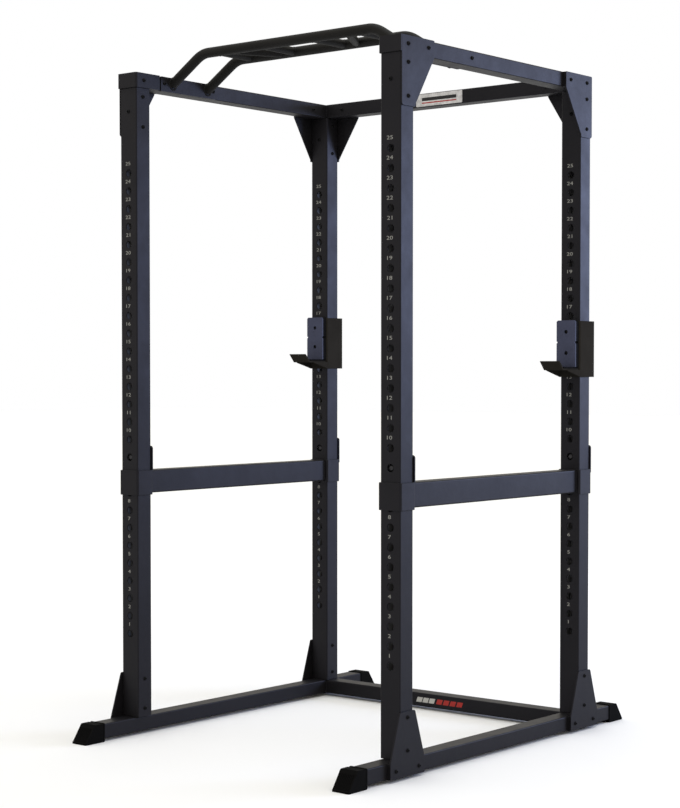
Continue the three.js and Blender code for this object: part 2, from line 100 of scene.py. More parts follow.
def noise_node(tree, vector, scale, detail=2.0, rough=0.5):
    node = tree.nodes.new("ShaderNodeTexNoise")
    node.inputs["Scale"].default_value = scale
    node.inputs["Detail"].default_value = detail
    node.inputs["Roughness"].default_value = rough
    tree.links.new(vector, node.inputs["Vector"])
    return node.outputs["Fac"]


def ramp(tree, fac, stops):
    node = tree.nodes.new("ShaderNodeValToRGB")
    elements = node.color_ramp.elements
    while len(elements) < len(stops):
        elements.new(0.5)
    for element, (position, colour) in zip(elements, stops):
        element.position = position
        element.color = (*colour, 1.0)
    tree.links.new(fac, node.inputs["Fac"])
    return node.outputs["Color"]


def map_range(tree, value, low, high, to_low, to_high):
    node = tree.nodes.new("ShaderNodeMapRange")
    for key, number in zip(("From Min", "From Max", "To Min", "To Max"), (low, high, to_low, to_high)):
        node.inputs[key].default_value = number
    tree.links.new(value, node.inputs["Value"])
    return node.outputs["Result"]


def add_bump(tree, height, distance, strength, normal=None):
    node = tree.nodes.new("ShaderNodeBump")
    node.inputs["Distance"].default_value = distance
    node.inputs["Strength"].default_value = strength
    tree.links.new(height, node.inputs["Height"])
    if normal is not None:
        tree.links.new(normal, node.inputs["Normal"])
    return node.outputs["Normal"]


def tint(colour, factor):
    return tuple(min(1.0, c * factor) for c in colour)


def powder_coat(
        name, colour, rough, specular, sheen=(1.0, 1.0, 1.0), spread=0.08, mottle=0.16, grain=620.0, bump=0.35):
    """Baked-on powder paint: a fine orange-peel surface with faint cloudy tone and sheen."""
    mat, tree, shader, where = node_tree(name)
    cloud = noise_node(tree, where, 5.5, 4.0, 0.6)
    speck = noise_node(tree, where, 260.0, 2.0)
    base = ramp(tree, cloud, [(0.30, tint(colour, 1.0 - mottle)), (0.70, tint(colour, 1.0 + mottle))])
    flecks = ramp(tree, speck, [(0.35, (0.93, 0.93, 0.93)), (0.70, (1.0, 1.0, 1.0))])
    mix = tree.nodes.new("ShaderNodeMix")
    mix.data_type = "RGBA"
    mix.blend_type = "MULTIPLY"
    mix.inputs["Factor"].default_value = 1.0
    tree.links.new(base, mix.inputs["A"])
    tree.links.new(flecks, mix.inputs["B"])
    tree.links.new(mix.outputs["Result"], shader.inputs["Base Color"])
    smudge = noise_node(tree, where, 14.0, 5.0, 0.65)
    gloss = map_range(tree, smudge, 0.3, 0.7, rough - spread / 2, rough + spread / 2)
    tree.links.new(gloss, shader.inputs["Roughness"])
    peel = noise_node(tree, where, grain, 2.0)
    wave = noise_node(tree, where, 38.0, 1.0)
    soft = add_bump(tree, wave, 0.0012, 0.25)
    tree.links.new(add_bump(tree, peel, 0.00025, bump, soft), shader.inputs["Normal"])
    shader.inputs["Specular IOR Level"].default_value = specular
    shader.inputs["Specular Tint"].default_value = (*sheen, 1.0)
    return mat


def turned_metal(name, colour, rough=0.34, metallic=1.0, axis="Y"):
    """Turned or drawn metal: fine lines round the axis and slight tarnish."""
    mat, tree, shader, where = node_tree(name)
    stretch = tree.nodes.new("ShaderNodeMapping")
    stretch.inputs["Scale"].default_value = (9.0, 900.0, 9.0) if axis == "Y" else (9.0, 9.0, 900.0)
    tree.links.new(where, stretch.inputs["Vector"])
    lines = noise_node(tree, stretch.outputs["Vector"], 1.0, 3.0)
    stain = noise_node(tree, where, 55.0, 4.0)
    base = ramp(tree, stain, [(0.3, tint(colour, 0.75)), (0.7, tint(colour, 1.15))])
    tree.links.new(base, shader.inputs["Base Color"])
    tree.links.new(map_range(tree, lines, 0.3, 0.7, rough - 0.08, rough + 0.12), shader.inputs["Roughness"])
    tree.links.new(add_bump(tree, lines, 0.0002, 0.35), shader.inputs["Normal"])
    shader.inputs["Metallic"].default_value = metallic
    return mat


def moulded(name, colour, rough=0.55, specular=0.4, grain=900.0, bump=0.5, mottle=0.10):
    """Moulded rubber or hard plastic with a fine sand-blasted texture."""
    mat, tree, shader, where = node_tree(name)
    cloud = noise_node(tree, where, 20.0, 4.0)
    base = ramp(tree, cloud, [(0.3, tint(colour, 1.0 - mottle)), (0.7, tint(colour, 1.0 + mottle))])
    tree.links.new(base, shader.inputs["Base Color"])
    pores = noise_node(tree, where, grain, 3.0)
    tree.links.new(map_range(tree, cloud, 0.3, 0.7, rough - 0.05, rough + 0.07), shader.inputs["Roughness"])
    tree.links.new(add_bump(tree, pores, 0.0003, bump), shader.inputs["Normal"])
    shader.inputs["Specular IOR Level"].default_value = specular
    return mat


def printed(name, colour):
    """Screen-printed ink, a little broken up by the paint under it."""
    mat, tree, shader, where = node_tree(name)
    breaks = noise_node(tree, where, 700.0, 3.0)
    base = ramp(tree, breaks, [(0.30, tint(colour, 0.70)), (0.48, colour)])
    tree.links.new(base, shader.inputs["Base Color"])
    tree.links.new(map_range(tree, breaks, 0.3, 0.7, 0.5, 0.7), shader.inputs["Roughness"])
    tree.links.new(add_bump(tree, breaks, 0.0001, 0.3), shader.inputs["Normal"])
    shader.inputs["Specular IOR Level"].default_value = 0.3
    return mat


PAINT = powder_coat("slate_powder_coat", (0.0092, 0.0085, 0.0092), 0.48, 0.21, sheen=(0.78, 0.80, 1.0))
# inner faces of the uprights: paint about eighteen times lighter than outside, a painted highlight for light
# falling in through the holes
TUBE_INSIDE_PAINTED_LIGHT = powder_coat("tube_inside_painted_highlight", (0.17, 0.17, 0.174), 0.60, 0.30, grain=300.0, bump=0.3)
GRIP_PAINT = powder_coat("black_powder_coat", (0.0096, 0.0092, 0.0088), 0.55, 0.15, grain=480.0, bump=0.5)
HOOK_PAINT = powder_coat("hook_powder_coat", (0.0258, 0.0236, 0.0205), 0.80, 0.0, grain=420.0, bump=0.5)
PAD_PLASTIC = moulded("hook_pad_plastic", (0.058, 0.065, 0.112), rough=0.55, specular=0.15)
RUBBER = moulded("shoe_rubber", (0.0036, 0.0035, 0.0035), rough=0.80, specular=0.05, grain=600.0, bump=0.7)
BOLT_BLACK = moulded("black_bolt", (0.0040, 0.0040, 0.0050), rough=0.55, specular=0.12, grain=500.0, bump=0.3)
PIN_STEEL = turned_metal("dark_zinc_pin", (0.055, 0.055, 0.060), rough=0.45)
PLATE_ALUMINIUM = turned_metal(
    "brushed_aluminium_plate", (0.72, 0.72, 0.74), rough=0.42, metallic=0.7, axis="Z")
INK_GREY = printed("grey_ink", (0.33, 0.33, 0.31))
STRIPE_GREY = printed("light_grey_ink", (0.52, 0.52, 0.50))
INK_DARK = printed("dark_ink", (0.02, 0.02, 0.022))
INK_RED = printed("red_ink", (0.42, 0.030, 0.025))


# ---------------------------------------------------------------- mesh tools


def rounded(points, radius, steps=4):
    """A closed 2-D outline with every corner rounded to a radius, or to its own radius in a list."""
    out = []
    count = len(points)
    radii = radius if isinstance(radius, (list, tuple)) else [radius] * count
    for i, point in enumerate(points):
        p = Vector(point)
        before, after = Vector(points[i - 1]), Vector(points[(i + 1) % count])
        a, b = (before - p), (after - p)
        angle = a.angle(b)
        if radii[i] <= 0 or angle > math.pi - 0.05:
            out.append(tuple(p))
            continue
        reach = min(radii[i] / math.tan(angle / 2), 0.45 * a.length, 0.45 * b.length)
        r = reach * math.tan(angle / 2)
        start, end = p + a.normalized() * reach, p + b.normalized() * reach
        centre = p + (a.normalized() + b.normalized()).normalized() * (r / math.sin(angle / 2))
        from_centre, to_centre = start - centre, end - centre
        turn = from_centre.angle_signed(to_centre)
        for k in range(steps + 1):
            arm = from_centre.copy()
            arm.rotate(Matrix.Rotation(-turn * k / steps, 2))
            out.append(tuple(centre + arm))
    return out


def rectangle(u0, u1, v0, v1):
    return [(u0, v0), (u1, v0), (u1, v1), (u0, v1)]


def place_x(d, u, v):
    return Vector((d, u, v))


def place_y(d, u, v):
    return Vector((u, d, v))


def place_z(d, u, v):
    return Vector((u, v, d))


PLACES = {"x": place_x, "y": place_y, "z": place_z}


def add_mesh(bm, part):
    """Adds the faces of a temporary bmesh to another, with its normals facing out."""
    bmesh.ops.recalc_face_normals(part, faces=part.faces)
    mesh = bpy.data.meshes.new("part")
    part.to_mesh(mesh)
    part.free()
    bm.from_mesh(mesh)
    bpy.data.meshes.remove(mesh)


def add_plate(bm, outline, d0, d1, axis, edge=EDGE, sharp=0.6):
    """A flat plate: an outline in a plane, given thickness along an axis, with eased edges."""
    part = bmesh.new()
    at = PLACES[axis]
    low = [part.verts.new(at(d0, u, v)) for u, v in outline]
    high = [part.verts.new(at(d1, u, v)) for u, v in outline]
    part.faces.new(low)
    part.faces.new(high)
    count = len(outline)
    for i in range(count):
        part.faces.new((low[i], low[(i + 1) % count], high[(i + 1) % count], high[i]))
    bmesh.ops.recalc_face_normals(part, faces=part.faces)
    if edge > 0:
        edges = [e for e in part.edges if e.calc_face_angle(0.0) > sharp]
        bmesh.ops.bevel(
            part, geom=edges, offset=edge, segments=2, profile=0.7, affect="EDGES", clamp_overlap=True)
    add_mesh(bm, part)


def add_block(bm, low, high, edge=EDGE, corner=0.0, axis="x"):
    """A block between two corners; its four edges along the axis can be rounded more."""
    i = "xyz".index(axis)
    others = [k for k in range(3) if k != i]
    outline = rectangle(low[others[0]], high[others[0]], low[others[1]], high[others[1]])
    if corner:
        outline = rounded(outline, corner)
    add_plate(bm, outline, low[i], high[i], axis, edge)


def add_loft(bm, rings, closed=False, caps=True):
    """Joins rings of points that have the same count; closed joins the last ring to the first."""
    part = bmesh.new()
    made = [[part.verts.new(p) for p in ring] for ring in rings]
    pairs = list(zip(made, made[1:]))
    if closed:
        pairs.append((made[-1], made[0]))
    for a, b in pairs:
        for i in range(len(a)):
            j = (i + 1) % len(a)
            part.faces.new((a[i], a[j], b[j], b[i]))
    if caps and not closed:
        part.faces.new(made[0])
        part.faces.new(made[-1])
    add_mesh(bm, part)


def add_tube(bm, low, high, axis, wall=WALL, corner=TUBE_CORNER, ease=0.7):
    """A rectangular tube with rounded corners, open at both ends."""
    i = "xyz".index(axis)
    j, k = [n for n in range(3) if n != i]
    at = PLACES[axis]

    def ring(d, inset):
        box = rectangle(low[j] + inset, high[j] - inset, low[k] + inset, high[k] - inset)
        return [at(d, u, v) for u, v in rounded(box, max(corner - inset, 1.0), 5)]

    start, end = low[i], high[i]
    rings = [
        ring(start + ease, 0.0), ring(end - ease, 0.0), ring(end, ease), ring(end, wall - 0.2),
        ring(end - ease, wall), ring(start + ease, wall), ring(start, wall - 0.2), ring(start, ease),
    ]
    add_loft(bm, rings, closed=True)


def round_ring(centre, u, v, radius, sides):
    turn = 2 * math.pi / sides
    return [
        centre + u * (radius * math.cos(turn * n)) + v * (radius * math.sin(turn * n)) for n in range(sides)
    ]


def hex_ring(centre, u, v, flat, sides):
    out = []
    for n in range(sides):
        angle = 2 * math.pi * n / sides
        radius = flat / math.cos((angle % (math.pi / 3)) - math.pi / 6)
        out.append(centre + u * (radius * math.cos(angle)) + v * (radius * math.sin(angle)))
    return out


def axes_for(direction):
    d = Vector(direction).normalized()
    helper = Vector((0, 0, 1)) if abs(d.z) < 0.9 else Vector((1, 0, 0))
    u = helper.cross(d).normalized()
    return d, u, d.cross(u)


def add_lathe(bm, origin, direction, profile, sides=24):
    """A turned shape: (distance, radius) steps along a direction; a step marked 'hex' is six-sided."""
    d, u, v = axes_for(direction)
    rings = []
    for step in profile:
        centre = Vector(origin) + d * step[0]
        make = hex_ring if len(step) > 2 else round_ring
        rings.append(make(centre, u, v, step[1], sides))
    add_loft(bm, rings)


def add_bolt(bm, origin, direction, radius=HEAD_RADIUS, height=HEAD_HEIGHT):
    """A button-head bolt with a hexagon socket, standing on a surface."""
    socket = radius * 0.42
    add_lathe(bm, origin, direction, [
        (-0.5, radius * 0.98), (0.25, radius), (0.30 * height, radius * 0.99), (0.62 * height, radius * 0.86),
        (0.88 * height, radius * 0.66), (height, radius * 0.54), (height * 0.98, socket, "hex"),
        (height * 0.30, socket * 0.97, "hex"),
    ])


def add_path(bm, points, normal, radius, sides=28, ripple=0.0, closed=False, caps=True):
    """A round section swept along points; normal is a direction that no tangent is parallel to."""
    rings = []
    count = len(points)
    for n, point in enumerate(points):
        if closed:
            tangent = points[(n + 1) % count] - points[n - 1]
        else:
            tangent = points[min(n + 1, count - 1)] - points[max(n - 1, 0)]
        tangent.normalize()
        u = tangent.cross(normal).normalized()
        v = tangent.cross(u)
        r = radius
        if ripple:
            r = radius * (1.0 + ripple * math.sin(n * 2.1) + ripple * noise.noise(point * 0.35))
        rings.append(round_ring(point, u, v, r, sides))
    add_loft(bm, rings, closed=closed, caps=caps)


def add_weld_round(bm, centre, axis_dir, radius, surface, size=2.4, count=44):
    """A bead round a bar where it meets a surface; surface(point) gives how far along the bar it lies."""
    d, u, v = axes_for(axis_dir)
    points = []
    for n in range(count):
        angle = 2 * math.pi * n / count
        side = u * (radius * math.cos(angle)) + v * (radius * math.sin(angle))
        points.append(Vector(centre) + side + d * surface(side))
    add_path(bm, points, d, size, sides=8, ripple=0.12, closed=True)


def add_weld_line(bm, start, end, normal, size=2.2, step=2.2):
    """A straight bead of weld."""
    a, b = Vector(start), Vector(end)
    count = max(3, int((b - a).length / step))
    add_path(bm, [a.lerp(b, n / count) for n in range(count + 1)], Vector(normal), size, sides=8, ripple=0.12)


def cut(bm, cutter):
    """Cuts one closed mesh out of another."""
    objects = []
    for part, label in ((bm, "cut_body"), (cutter, "cut_tool")):
        bmesh.ops.recalc_face_normals(part, faces=part.faces)
        mesh = bpy.data.meshes.new(label)
        part.to_mesh(mesh)
        part.free()
        obj = bpy.data.objects.new(label, mesh)
        bpy.context.scene.collection.objects.link(obj)
        objects.append(obj)
    body, tool = objects
    boolean = body.modifiers.new("cut", "BOOLEAN")
    boolean.operation = "DIFFERENCE"
    boolean.solver = "EXACT"
    boolean.object = tool
    depsgraph = bpy.context.evaluated_depsgraph_get()
    made = bpy.data.meshes.new_from_object(body.evaluated_get(depsgraph))
    out = bmesh.new()
    out.from_mesh(made)
    for obj in objects:
        mesh = obj.data
        bpy.data.objects.remove(obj)
        bpy.data.meshes.remove(mesh)
    bpy.data.meshes.remove(made)
    return out


def piece(name, bm, body, material, replaces=(), smooth=32.0):
    """Makes the object in metres, shades it, ties it to its body and hides the CAD nodes it replaces."""
    bmesh.ops.scale(bm, vec=(0.001, 0.001, 0.001), verts=bm.verts)
    limit = math.radians(smooth)
    for face in bm.faces:
        face.smooth = True
    for edge in bm.edges:
        if len(edge.link_faces) == 2 and edge.calc_face_angle(0.0) > limit:
            edge.smooth = False
    mesh = bpy.data.meshes.new(name)
    bm.to_mesh(mesh)
    bm.free()
    obj = bpy.data.objects.new(name, mesh)
    bpy.context.scene.collection.objects.link(obj)
    mesh.materials.append(material)
    weighted = obj.modifiers.new("weighted_normals", "WEIGHTED_NORMAL")
    weighted.keep_sharp = True
    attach(obj, body)
    if replaces:
        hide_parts(*replaces)
    return obj


def box(node):
    low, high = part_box(node)
    return low * 1000.0, high * 1000.0


def flip(points, sign):
    """Mirrors 2-D points left to right when sign is negative."""
    return [(sign * u, v) for u, v in points]


# ---------------------------------------------------------------- uprights


def upright(end_name, side_name):
    node = f"upright_{end_name}_{side_name}"
    low, high = box(node)
    x = (low.x + high.x) / 2
    body = bmesh.new()
    add_tube(body, low, high, "z")
    cutter = bmesh.new()
    y0, y1 = low.y, high.y
    flare = HOLE_RADIUS + HOLE_CHAMFER
    for n in range(HOLE_COUNT):
        z = FIRST_HOLE + n * HOLE_PITCH
        add_lathe(cutter, (x, y0 - 2, z), (0, 1, 0), [
            (0, flare + 2), (2, flare), (2 + HOLE_CHAMFER, HOLE_RADIUS),
            (2 + y1 - y0 - HOLE_CHAMFER, HOLE_RADIUS), (2 + y1 - y0, flare), (4 + y1 - y0, flare + 2),
        ], sides=28)
    bored = cut(body, cutter)
    # the faces inside the tube get a much lighter paint: a painted highlight for light falling in through the
    # holes
    reach = WALL - INSIDE_MARGIN
    for face in bored.faces:
        middle = face.calc_center_median()
        inside_x = low.x + reach < middle.x < high.x - reach
        inside_y = low.y + reach < middle.y < high.y - reach
        if inside_x and inside_y and abs(face.normal.z) < 0.5:
            face.material_index = 1
    tube = piece(node + "_tube", bored, FRAME, PAINT, [node])
    tube.data.materials.append(TUBE_INSIDE_PAINTED_LIGHT)
    return tube


def hole_label(index):
    """The number printed over a hole, or None: two holes behind the rail's usual place have none."""
    if index <= 8:
        return str(index + 1)
    if index <= 10:
        return None
    return str(index - 1)


LABEL_RISE = 32.0
LABEL_HEIGHT = 11.5
LABEL_STRETCH = 1.55
LABEL_OFFSET = -3.0
INK_DEPTH = 0.12


def text_mesh(text):
    """A number's flat shape, 1 mm tall, centred on the origin in the XY plane."""
    curve = bpy.data.curves.new("label", "FONT")
    curve.body = text
    curve.align_x = "CENTER"
    curve.align_y = "CENTER"
    curve.extrude = 0.005
    curve.resolution_u = 3
    obj = bpy.data.objects.new("label", curve)
    bpy.context.scene.collection.objects.link(obj)
    depsgraph = bpy.context.evaluated_depsgraph_get()
    mesh = bpy.data.meshes.new_from_object(obj.evaluated_get(depsgraph))
    bpy.data.objects.remove(obj)
    bpy.data.curves.remove(curve)
    xs = [v.co.x for v in mesh.vertices]
    ys = [v.co.y for v in mesh.vertices]
    centre = Vector(((min(xs) + max(xs)) / 2, (min(ys) + max(ys)) / 2, 0))
    size = max(ys) - min(ys)
    mesh.transform(Matrix.Translation(-centre))
    mesh.transform(Matrix.Diagonal((1 / size, 1 / size, 1.0, 1.0)))
    return mesh


LABELS = {hole_label(n): text_mesh(hole_label(n)) for n in range(HOLE_COUNT) if hole_label(n)}


def hole_numbers(end_name, side_name):
    low, high = box(f"upright_{end_name}_{side_name}")
    x = (low.x + high.x) / 2 + LABEL_OFFSET
    bm = bmesh.new()
    for n in range(HOLE_COUNT):
        label = hole_label(n)
        if label is None:
            continue
        z = FIRST_HOLE + n * HOLE_PITCH + LABEL_RISE
        mesh = LABELS[label].copy()
        stretch = Matrix.Diagonal((LABEL_HEIGHT * LABEL_STRETCH, LABEL_HEIGHT, INK_DEPTH / 0.005, 1.0))
        mesh.transform(Matrix.Translation((x, low.y, z)) @ Matrix.Rotation(math.pi / 2, 4, "X") @ stretch)
        bm.from_mesh(mesh)
        bpy.data.meshes.remove(mesh)
    piece(f"hole_numbers_{end_name}_{side_name}", bm, FRAME, INK_GREY)


# ---------------------------------------------------------------- tubes of the frame


def side_tube(node, side, packers):
    """A tube along Y with the flat packers that fill the step between it and the plates."""
    low, high = box(node)
    inner = 530.0
    outer = inner + TUBE
    x0, x1 = sorted((side * inner, side * outer))
    bm = bmesh.new()
    add_tube(bm, (x0, low.y, low.z), (x1, high.y, high.z), "y")
    for a, b, y0, y1 in packers:
        p0, p1 = sorted((side * a, side * b))
        add_block(bm, (p0, y0, low.z + 0.6), (p1, y1, high.z - 0.6), edge=0.5)
    return piece(node + "_tube", bm, FRAME, PAINT, [node])


def cross_tube(node):
    low, high = box(node)
    bm = bmesh.new()
    add_tube(bm, low, high, "x")
    for x, sign in ((low.x, 1), (high.x, -1)):
        start = (x + sign * 0.5, low.y - 0.3, low.z + 3)
        add_weld_line(bm, start, (start[0], start[1], high.z - 3), (0, 1, 0))
    return piece(node + "_tube", bm, FRAME, PAINT, [node])


# ---------------------------------------------------------------- plates


GUSSET_REACH = 98.0
GUSSET_DROP = 210.0
CAGE_TOP = 2240.0
BEAM_BOTTOM = 2190.0


def top_gusset_outline(outer, inner):
    """Outline of a top corner plate, from the corner's outer edge to its inner edge."""
    return rounded([
        (outer, CAGE_TOP),
        (inner - GUSSET_REACH, CAGE_TOP),
        (inner - GUSSET_REACH, BEAM_BOTTOM - 2),
        (inner - 3, CAGE_TOP - GUSSET_DROP + 8),
        (inner - 3, CAGE_TOP - GUSSET_DROP),
        (outer, CAGE_TOP - GUSSET_DROP),
    ], [PLATE_CORNER, 3, 10, 8, 5, 9])


def top_side_gusset(end_name, end, side_name, side):
    node = f"top_gusset_{end_name}_{side_name}"
    post_low, post_high = box(f"upright_{end_name}_{side_name}")
    outer = max(abs(post_low.y), abs(post_high.y))
    inner = min(abs(post_low.y), abs(post_high.y))
    face = max(abs(post_low.x), abs(post_high.x))
    outline = flip(top_gusset_outline(outer, inner), end)
    bm = bmesh.new()
    add_plate(bm, outline, side * face, side * (face + PLATE), "x")
    piece(node + "_plate", bm, FRAME, PAINT, [node])
    bolts = bmesh.new()
    post_y = end * (outer + inner) / 2
    places = [(post_y, BEAM_BOLT_Z), (end * (inner - BEAM_BOLT_REACH), BEAM_BOLT_Z)]
    places += [(post_y, z) for z in TOP_BOLTS_Z]
    for y, z in places:
        add_bolt(bolts, (side * (face + PLATE), y, z), (side, 0, 0))
    piece(f"bolts_top_{end_name}_{side_name}", bolts, FRAME, BOLT_BLACK)
    nuts = bmesh.new()
    inner_face = min(abs(post_low.x), abs(post_high.x))
    for z in TOP_BOLTS_Z:
        add_bolt(nuts, (side * inner_face, post_y, z), (-side, 0, 0))
    if end < 0:
        add_bolt(nuts, (side * (inner_face - PLATE), post_y, BEAM_BOLT_Z), (-side, 0, 0))
    else:
        add_bolt(nuts, (side * 530.0, end * (inner - BEAM_BOLT_REACH), BEAM_BOLT_Z), (-side, 0, 0))
    piece(f"bolt_ends_top_{end_name}_{side_name}", nuts, FRAME, BOLT_BLACK)


def rear_gusset(side_name, side):
    node = f"rear_gusset_{side_name}"
    post_low, post_high = box(f"upright_rear_{side_name}")
    outer = max(abs(post_low.x), abs(post_high.x))
    inner = min(abs(post_low.x), abs(post_high.x))
    y = post_high.y + 0.3
    bm = bmesh.new()
    add_plate(bm, flip(top_gusset_outline(outer, inner), side), y, y + PLATE, "y")
    piece(node + "_plate", bm, FRAME, PAINT, [node])
    bolts = bmesh.new()
    places = [((outer + inner) / 2, BEAM_BOLT_Z), (inner - BEAM_BOLT_REACH, BEAM_BOLT_Z)]
    places += [((outer + inner) / 2, z) for z in TOP_BOLTS_Z]
    for x, z in places:
        add_bolt(bolts, (side * x, y + PLATE, z), (0, 1, 0))
    beam_low, _ = box("top_beam_rear")
    add_bolt(bolts, (side * (inner - BEAM_BOLT_REACH), beam_low.y, BEAM_BOLT_Z), (0, -1, 0))
    piece(f"bolts_rear_{side_name}", bolts, FRAME, BOLT_BLACK)


def base_gusset(end_name, side_name, side):
    node = f"base_gusset_{end_name}_{side_name}"
    post_low, post_high = box(f"upright_{end_name}_{side_name}")
    face = max(abs(post_low.x), abs(post_high.x))
    y = (post_low.y + post_high.y) / 2
    outline = rounded([
        (y - 85, 10), (y + 85, 10), (y + 85, 58), (y + 37, 208), (y - 37, 208), (y - 85, 58),
    ], [4, 4, 9, 7, 7, 9])
    bm = bmesh.new()
    add_plate(bm, outline, side * face, side * (face + PLATE), "x")
    piece(node + "_plate", bm, FRAME, PAINT, [node])
    bolts = bmesh.new()
    places = [(y - RUNNER_BOLT_OFFSET, RUNNER_BOLT_Z), (y + RUNNER_BOLT_OFFSET, RUNNER_BOLT_Z)]
    places += [(y, z) for z in BASE_BOLTS_Z]
    for v, z in places:
        add_bolt(bolts, (side * (face + PLATE), v, z), (side, 0, 0))
    inner_face = min(abs(post_low.x), abs(post_high.x))
    for z in BASE_BOLTS_Z:
        add_bolt(bolts, (side * inner_face, y, z), (-side, 0, 0))
    piece(f"bolts_base_{end_name}_{side_name}", bolts, FRAME, BOLT_BLACK)


def front_collar(side_name, side):
    """A bent plate: a front leaf over the beam's end, a tight bend, and an inner leaf."""
    node = f"front_collar_{side_name}"
    low, high = box(node)
    x_out, x_in = side * 603.0, side * 517.0
    y_front, y_back = low.y, high.y
    bend = 7.0
    outline = [
        (x_out, y_front + PLATE), (x_out, y_front), (x_in, y_front), (x_in, y_back),
        (x_in + side * PLATE, y_back), (x_in + side * PLATE, y_front + PLATE),
    ]
    radii = [0.8, 0.8, bend, 0.8, 0.8, bend - PLATE]
    bm = bmesh.new()
    add_plate(bm, rounded(outline, radii, 6), low.z, high.z, "z")
    piece(node + "_plate", bm, FRAME, PAINT, [node])


def face_bolts():
    for end_name, _ in ENDS:
        for side_name, _ in SIDES:
            low, high = box(f"upright_{end_name}_{side_name}")
            bm = bmesh.new()
            add_bolt(bm, ((low.x + high.x) / 2, low.y, FACE_BOLT_Z), (0, -1, 0))
            piece(f"bolt_face_{end_name}_{side_name}", bm, FRAME, BOLT_BLACK)


# ---------------------------------------------------------------- pull-up bar

BAR_RADIUS = 16.85
GRIP_RADIUS = 14.2
BAR_HEIGHT = 2309.0
BAR_ENDS = ((-1, 384.0, 2220.0), (1, 362.0, 2211.0))
BAR_BEND = 28.0
MOUNT_X = 522.0
GRIP_CENTRE = -8.0
GRIPS = (("inner", 105, 110), ("angled", 258, 156), ("outer", 300, 303))


def bar_end_points(side, knee_x, end_z, y):
    """Centre line of one end of a bar: a rise from the mounting plate and a bend to the level part."""
    slope = (BAR_HEIGHT - end_z) / (MOUNT_X - knee_x)
    foot = Vector((MOUNT_X + 2, y, end_z - 2 * slope))
    knee0 = Vector((knee_x + BAR_BEND, y, BAR_HEIGHT - BAR_BEND * slope))
    knee = Vector((knee_x, y, BAR_HEIGHT))
    knee1 = Vector((knee_x - BAR_BEND, y, BAR_HEIGHT))
    points = [foot.lerp(knee0, n / 6) for n in range(6)]
    for n in range(13):
        t = n / 12
        points.append(knee0 * (1 - t) ** 2 + knee * (2 * t * (1 - t)) + knee1 * t ** 2)
    return [Vector((side * p.x, p.y, p.z)) for p in points]


def pull_up_bar(node):
    low, high = box(node)
    y = (low.y + high.y) / 2
    left, right = (bar_end_points(*end, y) for end in BAR_ENDS)
    middle = [right[-1].lerp(left[-1], n / 12) for n in range(1, 12)]
    bm = bmesh.new()
    add_path(bm, right + middle + left[::-1], Vector((0, 1, 0)), BAR_RADIUS, sides=32)
    for side, knee_x, end_z in BAR_ENDS:
        slope = (BAR_HEIGHT - end_z) / (MOUNT_X - knee_x)
        direction = Vector((side, 0, -slope)).normalized()
        centre = Vector((side * MOUNT_X, y, end_z))
        add_weld_round(bm, centre, direction, BAR_RADIUS, lambda s, d=direction: -s.x / d.x, size=3.0)
    piece(node + "_tube", bm, FRAME, GRIP_PAINT, [node])
    return y


def grip(name, side_name, side, x_front, x_rear, y_front, y_rear):
    node = f"grip_{name}_{side_name}"
    start = Vector((GRIP_CENTRE + side * x_front, y_front, BAR_HEIGHT))
    end = Vector((GRIP_CENTRE + side * x_rear, y_rear, BAR_HEIGHT))
    direction = (end - start).normalized()
    bm = bmesh.new()
    inset = BAR_RADIUS * 0.55
    points = [start + direction * inset, end - direction * inset]
    run = [points[0].lerp(points[1], n / 8) for n in range(9)]
    add_path(bm, run, Vector((0, 0, 1)), GRIP_RADIUS, sides=28)
    for centre, way in ((start, 1), (end, -1)):
        d = direction * way

        def reach(s, d=d):
            depth = math.sqrt(max(BAR_RADIUS ** 2 - s.z ** 2, 0.0))
            return (depth - s.y * (1 if d.y > 0 else -1)) / abs(d.y)

        add_weld_round(bm, centre, d, GRIP_RADIUS, reach, size=2.0)
    piece(node + "_tube", bm, FRAME, GRIP_PAINT, [node])


def pull_up_mount(side_name, side):
    node = f"pull_up_mount_{side_name}"
    low, high = box(node)
    outline = rounded(rectangle(low.y, high.y, low.z, high.z), 4)
    bm = bmesh.new()
    add_plate(bm, outline, low.x, high.x, "x")
    piece(node + "_plate", bm, FRAME, PAINT, [node])
    bolts = bmesh.new()
    face = min(abs(low.x), abs(high.x))
    for y in (-397.0, -155.0):
        add_bolt(bolts, (side * face, y, 2217.0), (-side, 0, 0))
        add_bolt(bolts, (side * (530.0 + TUBE), y, 2217.0), (side, 0, 0))
    piece(f"bolts_mount_{side_name}", bolts, FRAME, BOLT_BLACK)


# ---------------------------------------------------------------- name plate and stripe


def name_plate():
    low, high = box("blank_name_plate")
    bm = bmesh.new()
    add_plate(bm, rounded(rectangle(low.x, high.x, low.z, high.z), 3), low.y, high.y, "y", edge=0.3)
    piece("name_plate_sheet", bm, FRAME, PLATE_ALUMINIUM, ["blank_name_plate"])
    y = low.y
    dark = bmesh.new()
    bar = rounded(rectangle(low.x + 26, high.x - 26, low.z + 19, low.z + 31), 2)
    add_plate(dark, bar, y - 0.15, y + 0.1, "y", edge=0)
    piece("name_plate_dark_bar", dark, FRAME, INK_DARK)
    red = bmesh.new()
    add_block(red, (low.x + 26, y - 0.15, low.z + 10), (high.x - 26, y + 0.1, low.z + 14), edge=0)
    piece("name_plate_red_line", red, FRAME, INK_RED)


def base_stripe():
    """A plain two-colour stripe on the rear base tube: slanted blocks, no lettering."""
    low, high = box("base_tube_rear")
    y = low.y
    z0, z1 = low.z + 16, high.z - 16
    slant = 7.0

    def blocks(x_start, count, wide, pitch):
        bm = bmesh.new()
        for n in range(count):
            x = x_start + n * pitch
            outline = [(x, z0), (x + wide, z0), (x + wide + slant, z1), (x + slant, z1)]
            add_plate(bm, outline, y - 0.12, y + 0.1, "y", edge=0)
        return bm

    piece("base_stripe_grey", blocks(-100, 3, 24, 28), FRAME, STRIPE_GREY)
    piece("base_stripe_red", blocks(-10, 4, 24, 30), FRAME, INK_RED)


# ---------------------------------------------------------------- safety rails

